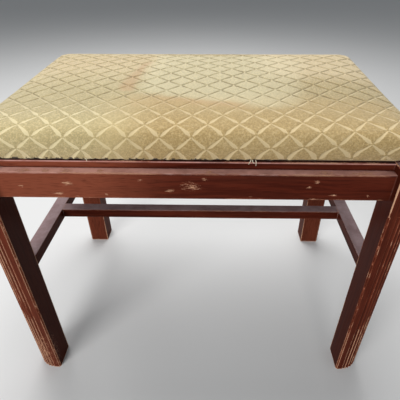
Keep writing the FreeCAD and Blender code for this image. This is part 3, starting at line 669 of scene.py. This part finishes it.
def stage_floor_paint(tint):
    """Pale floor with a faint drift of tone, which throws little light up at the bench."""
    material, desk, shader = new_material("stage_floor", Specular_IOR_Level=0.2)
    drift = desk.noise(desk.coords(), 1.5, 3.0)
    base = desk.blend(drift, [part * 0.97 for part in tint], tint)
    path = desk.node("ShaderNodeLightPath").outputs
    seen = desk.most(desk.most(path["Is Camera Ray"], path["Is Glossy Ray"]), path["Is Transmission Ray"])
    base = desk.blend(seen, [part * 0.5 for part in tint], base)
    finish_surface(desk, shader, base, desk.step(drift, 0.2, 0.8, 0.6, 0.7), drift, 0.1 * MM)
    return material


# Surfaces

def put_mesh(name, points, faces):
    """A new object at the origin from an array of points and lists of faces."""
    mesh = bpy.data.meshes.new(name)
    mesh.from_pydata(points, [], faces)
    mesh.polygons.foreach_set("use_smooth", np.ones(len(mesh.polygons), dtype=bool))
    mesh.update()
    piece = bpy.data.objects.new(name, mesh)
    bpy.context.scene.collection.objects.link(piece)
    return piece


def grid_faces(rows, columns):
    """Quads between neighbouring points of a grid stored row by row, each turned to look up from the grid."""
    corner = np.arange(rows * columns).reshape(rows, columns)
    quads = np.stack((corner[:-1, :-1], corner[:-1, 1:], corner[1:, 1:], corner[1:, :-1]), axis=-1)
    return quads.reshape(-1, 4).tolist()


def grid_rim(rows, columns):
    """Indices round the outer edge of a grid, in one closed run."""
    corner = np.arange(rows * columns).reshape(rows, columns)
    return np.concatenate((corner[0, :-1], corner[:-1, -1], corner[-1, :0:-1], corner[:0:-1, 0]))


def closed_grid(name, points):
    """A grid of points made into a closed form by a flat fan from its rim to one middle point."""
    rows, columns = points.shape[:2]
    rim = grid_rim(rows, columns)
    flat = points.reshape(-1, 3)
    middle = flat[rim].mean(axis=0)
    fan = np.stack((rim, np.full(len(rim), len(flat)), np.roll(rim, -1)), axis=-1)
    return put_mesh(name, np.vstack((flat, middle)), grid_faces(rows, columns) + fan.tolist())


def smooth_step(value, low, high):
    share = np.clip((value - low) / (high - low), 0, 1)
    return share * share * (3 - 2 * share)


class SeatForm:
    """The seat's surface over its flat cloth.

    The cloth's middle lies flat under the crown. Past the middle, its run over the edge follows one profile:
    level, round the edge roll, down the drawn-in side, round the lower roll and under. At a corner the same
    profile turns about the corner's centre, with the two cloth directions shared over the quarter turn.
    """

    def __init__(self, sizes):
        self.sizes = sizes
        self.half = (SEAT_HIGH - SEAT_LOW)[:2] / 2
        self.core = self.half - sizes.corner
        self.bottom = SEAT_LOW[2] + 0.2 * MM
        self.edge = self.bottom + sizes.side
        self.arc, self.reach, self.height = self.profile()
        self.under_start = self.arc[-1] - sizes.under
        self.limit = self.core + self.arc[-1]

    def profile(self):
        """Run along the cloth, outward reach and height of the edge's section."""
        sizes = self.sizes
        turn = np.linspace(0, math.pi / 2, 25)
        fall = np.linspace(0, 1, 15)[1:]
        shoulder = sizes.corner - sizes.roll
        foot = sizes.corner - sizes.drawn_in
        low = self.bottom + sizes.low_roll
        reach = np.concatenate((
            [0.0], shoulder + sizes.roll * np.sin(turn), sizes.corner - sizes.drawn_in * fall ** 1.6,
            foot - sizes.low_roll * (1 - np.cos(turn[1:])), foot - sizes.low_roll - sizes.under * fall))
        height = np.concatenate((
            [self.edge], self.edge - sizes.roll * (1 - np.cos(turn)),
            self.edge - sizes.roll + (low - self.edge + sizes.roll) * fall,
            low - sizes.low_roll * np.sin(turn[1:]), np.full(len(fall), self.bottom)))
        steps = np.hypot(np.diff(reach), np.diff(height))
        return np.concatenate(([0.0], np.cumsum(steps))), reach, height

    def grid(self, step):
        """Cloth coordinates of a grid of points about a step apart."""
        counts = [2 * int(round(limit / step)) + 1 for limit in self.limit]
        across, along = (np.linspace(-limit, limit, count) for limit, count in zip(self.limit, counts))
        return np.meshgrid(across, along)

    def parts(self, u, v):
        """Run over the edge, turn about the corner and outward reach at each point of the cloth."""
        over_x = np.maximum(np.abs(u) - self.core[0], 0)
        over_y = np.maximum(np.abs(v) - self.core[1], 0)
        run = np.maximum(over_x, over_y)
        share = np.minimum(over_x, over_y) / np.maximum(run, 1e-9)
        turn = np.where(over_x >= over_y, share, 2 - share) * (math.pi / 4)
        return run, turn, np.interp(run, self.arc, self.reach)

    def points(self, u, v):
        """Places in the bench's frame, with the crown, uneven stuffing and a tuck at each corner.

        The crown is a dome: one less the share of the half width to a power, times the same for the depth.
        """
        sizes = self.sizes
        tuck_depth, tuck_turn, lump_height = 1.6 * MM, 0.07, 0.35 * MM
        power_x, power_y = 2.6, 1.9
        run, turn, reach = self.parts(u, v)
        down = smooth_step(run, sizes.corner, self.under_start)
        reach = reach - tuck_depth * np.exp(-((turn - math.pi / 4) / tuck_turn) ** 2) * down
        x = np.sign(u) * (np.minimum(np.abs(u), self.core[0]) + reach * np.cos(turn))
        y = np.sign(v) * (np.minimum(np.abs(v), self.core[1]) + reach * np.sin(turn))
        z = np.interp(run, self.arc, self.height)
        rise = np.clip((z - self.bottom) / (self.edge - self.bottom), 0, 1)
        dome = (1 - np.abs(x / self.half[0]) ** power_x) * (1 - np.abs(y / self.half[1]) ** power_y)
        lumps = np.sin(x / 0.031 + 1.3) * np.sin(y / 0.026 + 0.4) + 0.6 * np.sin(x / 0.017 - y / 0.022)
        z = z + rise * np.clip(dome, 0, 1) * (sizes.crown + lump_height * lumps)
        right, back = ((1 + part / half) / 2 for part, half in zip((x, y), self.half))
        sides, ends = (1 - right, right) * 2, (1 - back, 1 - back, back, back)
        for lift, side, end in zip(sizes.corner_lifts, sides, ends):
            z = z + rise * lift * np.clip(side * end, 0, 1) ** 2
        z = z + (1 - rise) * sizes.hem_lift * np.clip(right * (1 - back), 0, 1) ** 2
        x = x + rise * sizes.spread * (x / self.half[0]) * smooth_step(back, 0.3, 1.0)
        return np.stack((x, y, z), axis=-1) + rise[..., None] * np.array(sizes.lean)

    def lattice(self, u, v):
        """Cloth coordinates counted in diamonds, unevenly pulled and drawn out above the lower edge.

        Each side's cloth runs on to the corner tuck.
        """
        sizes = self.sizes
        run, turn, reach = self.parts(u, v)
        hang, more_right, onset = 16, 4, 5 * MM
        start = self.under_start - (hang + more_right * smooth_step(u, 60 * MM, 200 * MM)) * MM
        drop = np.maximum(run - start, 0)
        run = run - sizes.drawn_out * drop ** 2 / (drop + onset)
        facing_y = turn > math.pi / 4
        inner_u, inner_v = (np.minimum(np.abs(part), core) for part, core in zip((u, v), self.core))
        inner_u = inner_u * np.where(facing_y, 1 - sizes.drawn_aside * drop / self.half[0], 1)
        flat_u = np.sign(u) * np.where(facing_y, inner_u + reach * (math.pi / 2 - turn), inner_u + run)
        flat_v = np.sign(v) * np.where(facing_y, inner_v + run, inner_v + reach * turn)
        a, b = (np.clip(flat / half, -1.2, 1.2) for flat, half in zip((flat_u, flat_v), self.half))
        terms = np.stack((a ** 0, a, b, a * a, a * b, b * b, a ** 3, a * a * b, a * b * b, b ** 3), axis=-1)
        across = flat_u / sizes.lattice_width + terms @ np.array(PULL_ACROSS)
        return across, flat_v / sizes.lattice + terms @ np.array(PULL_ALONG)

    def grooves(self, across, along):
        """Share of the groove at each lattice place: a furrow along both runs, shallow at the crossings."""
        width = self.sizes.furrow
        furrows = []
        for lane, way in ((across + along, across - along), (across - along, across + along)):
            off = np.abs(lane - np.round(lane)) * math.sqrt(0.5) * self.sizes.lattice
            near = np.abs(way - np.round(way))
            furrows.append((1 - smooth_step(off, 0.2 * width, width)) * smooth_step(near, 0.02, 0.1))
        return np.maximum(*furrows)


def cubic_weights(count, fine):
    """Matrix that carries values at evenly spaced points to more points by smooth cubic blending."""
    place = np.linspace(0, count - 1, fine)
    first = np.clip(np.floor(place).astype(int), 0, count - 2)
    f = place - first
    blends = (-f ** 3 + 2 * f ** 2 - f, 3 * f ** 3 - 5 * f ** 2 + 2,
              -3 * f ** 3 + 4 * f ** 2 + f, f ** 3 - f ** 2)
    weights = np.zeros((fine, count))
    for shift, blend in zip((-1, 0, 1, 2), blends):
        np.add.at(weights, (np.arange(fine), np.clip(first + shift, 0, count - 1)), blend / 2)
    return weights


def surface_normals(points):
    """Upward unit normals of a grid from the cross product of its two directions."""
    along = np.gradient(points, axis=0)
    across = np.gradient(points, axis=1)
    normal = np.cross(across, along)
    return normal / np.maximum(np.linalg.norm(normal, axis=-1, keepdims=True), 1e-12)


def swelling(form):
    """How far the stuffing pushes each point of a coarse cloth: a pressure simulation, held underneath."""
    last_frame, hold_steps = 20, 8
    u, v = form.grid(form.sizes.sim_step)
    start = form.points(u, v)
    cloth = closed_grid("seat_swelling", start)
    rise = (start[..., 2].ravel() - form.bottom) / (form.edge - form.bottom)
    held = np.round(np.append(1 - smooth_step(rise, 0.35, 0.8), 1.0) * hold_steps) / hold_steps
    pins = cloth.vertex_groups.new(name="held")
    for share in np.unique(held):
        pins.add(np.flatnonzero(held == share).tolist(), float(share), "REPLACE")
    modifier = cloth.modifiers.new("swell", "CLOTH")
    modifier.settings.vertex_group_mass = "held"
    modifier.settings.use_pressure = True
    modifier.settings.uniform_pressure_force = 0.35
    modifier.settings.tension_stiffness = 20
    modifier.settings.compression_stiffness = 20
    modifier.settings.bending_stiffness = 2
    modifier.settings.effector_weights.gravity = 0
    modifier.point_cache.frame_start = 1
    modifier.point_cache.frame_end = last_frame
    scene = bpy.context.scene
    for step in range(1, last_frame + 1):
        scene.frame_set(step)
    shaped = cloth.evaluated_get(bpy.context.evaluated_depsgraph_get()).data
    flat = np.empty(len(shaped.vertices) * 3)
    shaped.vertices.foreach_get("co", flat)
    moved = flat.reshape(-1, 3)[:-1].reshape(start.shape) - start
    bpy.data.objects.remove(cloth)
    scene.frame_set(1)
    length = np.linalg.norm(moved, axis=-1, keepdims=True)
    limit = form.sizes.swell
    return moved * limit * np.tanh(length / limit) / np.maximum(length, 1e-9)


def seat_points(form):
    """Finished points and their lattice places: the form, its swell, then sunk strokes and a frayed hem."""
    fray_height, hem_width = 0.35 * MM, 4 * MM
    front_band, back_band = (-0.13, -0.03), (0.13, 0.16)
    u, v = form.grid(form.sizes.mesh_step)
    points = form.points(u, v)
    push = swelling(form)
    rows, columns = (cubic_weights(*counts) for counts in zip(push.shape[:2], points.shape[:2]))
    points = points + np.einsum("ri,ijk,cj->rck", rows, push, columns)
    across, along = form.lattice(u, v)
    mid_to_back = smooth_step(points[..., 1], *front_band) * (1 - smooth_step(points[..., 1], *back_band))
    grooves = form.grooves(across, along) * (0.45 + 0.55 * mid_to_back)
    run = form.parts(u, v)[0]
    showing = 1 - smooth_step(run, form.under_start - 2 * MM, form.under_start)
    points = points - surface_normals(points) * (grooves * showing * form.sizes.groove)[..., None]
    hem = np.exp(-((run - form.under_start + form.sizes.low_roll) / hem_width) ** 2)
    fray = np.sin(across * 9.7 + along) + 0.7 * np.sin(across * 23.1 + 2.0) + 0.5 * np.sin(along * 17.3)
    points[..., 2] += hem * fray_height * fray
    return points, across, along


def tube_points(path, radii, sides):
    """A round tube as rings about a path: each ring stands square to the path's direction there."""
    direction = np.gradient(path, axis=0)
    direction /= np.linalg.norm(direction, axis=1, keepdims=True)
    side = np.cross(direction, (0.31, 0.87, 0.38))
    side /= np.linalg.norm(side, axis=1, keepdims=True)
    other = np.cross(direction, side)
    turn = np.linspace(0, 2 * math.pi, sides, endpoint=False)
    ring = side[:, None] * np.cos(turn)[:, None] + other[:, None] * np.sin(turn)[:, None]
    return path[:, None] + ring * radii[:, None, None]


def tube_faces(rings, sides, start):
    """Quads round a tube and a cap at each end, for points stored ring by ring from index start."""
    corner = start + np.arange(rings * sides).reshape(rings, sides)
    onward = np.roll(corner, -1, axis=1)
    quads = np.stack((corner[:-1], onward[:-1], onward[1:], corner[1:]), axis=-1).reshape(-1, 4).tolist()
    return quads + [corner[0, ::-1].tolist(), corner[-1].tolist()]


def dress(node, material):
    """Give a CAD node one material in all its slots."""
    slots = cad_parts[node].data.materials
    if not slots:
        slots.append(material)
    for index in range(len(slots)):
        slots[index] = material


# Operators

class BENCH_OT_frame(bpy.types.Operator):
    """Stain and wear the legs, rails and stretchers"""
    bl_idname = "bench.wooden_frame"
    bl_label = "Wooden frame"

    def execute(self, context):
        wood = context.scene.bench_wood
        front = APRON_LOW[1]
        knocks = [((x * MM, front, z * MM), (wide * MM, 3 * MM, tall * MM))
                  for x, z, wide, tall in APRON_MARKS]
        knocks += [((x * MM, front + 4 * MM, LEDGE), (wide * MM, 7 * MM, 2 * MM)) for x, wide in LEDGE_MARKS]
        # Painted light: a pale pool over the left end of the front apron
        lit_end = ((-0.19, front, 0.35), (0.06, 1, 1))
        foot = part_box("front_left_leg")[0]
        kicks = [((foot[0] + 24 * MM, foot[1] + 6 * MM, 45 * MM), (22 * MM, 12 * MM, 60 * MM))]
        for node, grain in GRAIN_ALONG.items():
            if node == "front_left_leg":
                finish = {"wear": 0.52, "marks": kicks, "faded": 0.2, "rub": 0.6}
            elif grain == "Z":
                finish = {"wear": 0.4, "faded": 0.3 if "back" in node else 0.08, "rub": 0.45}
            elif node == "front_rail":
                finish = {"radius": 3, "marks": knocks, "light_patch": lit_end}
            elif node.endswith("rail"):
                finish = {"radius": 3}
            else:
                finish = {"dust": 0.65 if node == "cross_stretcher" else 0.95}
            if grain == "Z":
                finish["radius"] = 2.6
                if "front" in node:
                    low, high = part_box(node)
                    finish["arris"] = (high[0] if "left" in node else low[0], low[1])
            dress(node, stained_wood(node, wood, **finish))
        return {"FINISHED"}


class BENCH_OT_hidden_wood(bpy.types.Operator):
    """Finish the corner blocks, dowels and seat board"""
    bl_idname = "bench.hidden_wood"
    bl_label = "Hidden wood"

    def execute(self, context):
        block = raw_wood("sawn_block", (0.50, 0.33, 0.18), (0.33, 0.19, 0.09))
        for node in BLOCKS:
            dress(node, block)
        dress("rail_dowels", raw_wood("birch_dowel", (0.62, 0.45, 0.27), (0.48, 0.32, 0.17)))
        dress("seat_board", raw_wood("seat_plywood", (0.58, 0.42, 0.25), (0.42, 0.28, 0.15)))
        return {"FINISHED"}


class BENCH_OT_fasteners(bpy.types.Operator):
    """Finish the screws and tacks"""
    bl_idname = "bench.fasteners"
    bl_label = "Screws and tacks"

    def execute(self, context):
        screw = old_steel("screw_steel", (0.42, 0.40, 0.37), (0.16, 0.085, 0.04))
        dress("block_screws", screw)
        dress("seat_screws", screw)
        dress("cover_tacks", old_steel("tack_steel", (0.09, 0.095, 0.11), (0.10, 0.055, 0.03)))
        return {"FINISHED"}


class BENCH_OT_cushion(bpy.types.Operator):
    """Make the stuffed seat with its diamond cloth"""
    bl_idname = "bench.cushion"
    bl_label = "Cushion"

    def execute(self, context):
        sizes = context.scene.bench_cushion
        points, across, along = seat_points(SeatForm(sizes))
        piece = closed_grid("seat_cushion", points)
        lattice = np.vstack((np.stack((across.ravel(), along.ravel()), axis=-1), (0, 0)))
        corners = np.empty(len(piece.data.loops), dtype=np.int32)
        piece.data.loops.foreach_get("vertex_index", corners)
        layer = piece.data.uv_layers.new(name="cloth")
        layer.uv.foreach_set("vector", lattice[corners].ravel())
        piece.data.materials.append(cut_velour(sizes))
        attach(piece, ROOT)
        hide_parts("seat_cover", "seat_pad")
        return {"FINISHED"}


class BENCH_OT_threads(bpy.types.Operator):
    """Make the loose threads at the front lower edge of the cloth"""
    bl_idname = "bench.loose_threads"
    bl_label = "Loose threads"

    def execute(self, context):
        sides, rings = 8, 14
        thread_radius, inset, lift = 0.5 * MM, 3.2 * MM, 4.0 * MM
        points, faces = [], []
        way = np.linspace(0, 1, rings)[:, None]
        for x, lean, length in THREADS:
            start = np.array((x * MM, SEAT_LOW[1] + inset, SEAT_LOW[2] + lift))
            swing = np.array((lean, -0.75, -0.75)) * length * MM
            curl = np.array((0.5 * MM, -0.4 * MM, 0.6 * MM)) * np.sin(way * 5.0 + x)
            path = start + way * swing + curl * way
            radii = thread_radius * (1 - 0.6 * way[:, 0] ** 2)
            faces += tube_faces(rings, sides, len(points) * rings * sides)
            points.append(tube_points(path, radii, sides).reshape(-1, 3))
        piece = put_mesh("loose_threads", np.vstack(points), faces)
        piece.data.materials.append(thread_yarn())
        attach(piece, ROOT)
        return {"FINISHED"}


class BENCH_OT_dust_cloth(bpy.types.Operator):
    """Make the lining cloth under the seat, pulled between its tacks"""
    bl_idname = "bench.dust_cloth"
    bl_label = "Dust cloth"

    def execute(self, context):
        columns, rows = 185, 115
        sag_depth, sag_reach, pucker, margin = 2.5 * MM, 130 * MM, 0.35 * MM, 8 * MM
        wave_x, wave_y, fade_out = 0.0085, 0.0095, 0.03
        size = DUST_HIGH - DUST_LOW
        half = size[:2] / 2
        x, y = np.meshgrid(np.linspace(-half[0], half[0], columns), np.linspace(-half[1], half[1], rows))
        inside = np.minimum(half[0] - np.abs(x), half[1] - np.abs(y))
        sag = smooth_step(inside, margin, sag_reach) * sag_depth
        pull = np.sin(x / wave_x) * np.exp(-(half[1] - np.abs(y)) / fade_out)
        pull += np.sin(y / wave_y) * np.exp(-(half[0] - np.abs(x)) / fade_out)
        pull *= smooth_step(inside, 0, margin)
        z = DUST_HIGH[2] - pucker - sag - pucker * (1 + pull) * smooth_step(inside, 0, 20 * MM)
        points = np.stack((x, y, z), axis=-1)
        piece = put_mesh("dust_cloth", points.reshape(-1, 3), grid_faces(*x.shape))
        thickness = piece.modifiers.new("thickness", "SOLIDIFY")
        thickness.thickness = 0.3 * MM
        thickness.offset = 0
        piece.data.materials.append(lining_cloth())
        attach(piece, ROOT)
        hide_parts("dust_cover")
        return {"FINISHED"}


class BENCH_OT_stage(bpy.types.Operator):
    """Set the floor, light and camera"""
    bl_idname = "bench.stage"
    bl_label = "Stage"

    def execute(self, context):
        scene = context.scene
        stage = scene.bench_stage
        half, middle, count = 9, 2, 13
        across, along = np.meshgrid(
            np.linspace(-half, half, count), np.linspace(middle - half, middle + half, count))
        points = np.stack((across, along, np.zeros_like(across)), axis=-1).reshape(-1, 3)
        floor = put_mesh("stage_floor", points, grid_faces(count, count))
        floor.data.materials.append(stage_floor_paint(stage.floor))
        for name, place, aim, size, power in LAMPS:
            lamp = bpy.data.lights.new(name, "AREA")
            lamp.size = size
            lamp.energy = power
            holder = bpy.data.objects.new(name, lamp)
            holder.location = place
            holder.rotation_euler = (Vector(aim) - Vector(place)).to_track_quat("-Z", "Y").to_euler()
            scene.collection.objects.link(holder)
        world = bpy.data.worlds.new("soft_room")
        world.use_nodes = True
        room = world.node_tree.nodes["Background"].inputs
        room["Color"].default_value = (0.9, 0.95, 1.0, 1.0)
        room["Strength"].default_value = 0.22
        scene.world = world
        view = bpy.data.cameras.new("photo_view")
        view.sensor_width = 36
        view.lens = stage.lens
        view.shift_x = stage.shift
        view.clip_start = 0.01
        camera = bpy.data.objects.new("photo_view", view)
        turn = Matrix.Rotation(stage.yaw, 4, "Z") @ Matrix.Rotation(math.pi / 2 - stage.pitch, 4, "X")
        turned = Matrix.Translation(stage.camera_place) @ turn
        camera.matrix_world = turned @ Matrix.Rotation(stage.roll, 4, "Z")
        scene.collection.objects.link(camera)
        scene.camera = camera
        scene.view_settings.view_transform = "Standard"
        return {"FINISHED"}


class BENCH_PT_panel(bpy.types.Panel):
    """Steps that finish the bench"""
    bl_idname = "BENCH_PT_panel"
    bl_label = "Bench"
    bl_space_type = "VIEW_3D"
    bl_region_type = "UI"
    bl_category = "Bench"

    def draw(self, context):
        for operator in STEPS:
            self.layout.operator(operator.bl_idname)


SETTINGS = {"bench_cushion": BenchCushion, "bench_wood": BenchWood, "bench_stage": BenchStage}
STEPS = (BENCH_OT_frame, BENCH_OT_hidden_wood, BENCH_OT_fasteners, BENCH_OT_cushion, BENCH_OT_threads,
         BENCH_OT_dust_cloth, BENCH_OT_stage)


def register():
    for item in (*SETTINGS.values(), *STEPS, BENCH_PT_panel):
        bpy.utils.register_class(item)
    for name, group in SETTINGS.items():
        setattr(bpy.types.Scene, name, bpy.props.PointerProperty(type=group))


def unregister():
    for name in SETTINGS:
        delattr(bpy.types.Scene, name)
    for item in reversed((*SETTINGS.values(), *STEPS, BENCH_PT_panel)):
        bpy.utils.unregister_class(item)


def main():
    register()
    for step in STEPS:
        area, name = step.bl_idname.split(".")
        getattr(getattr(bpy.ops, area), name)()


if __name__ == "__main__":
    main()
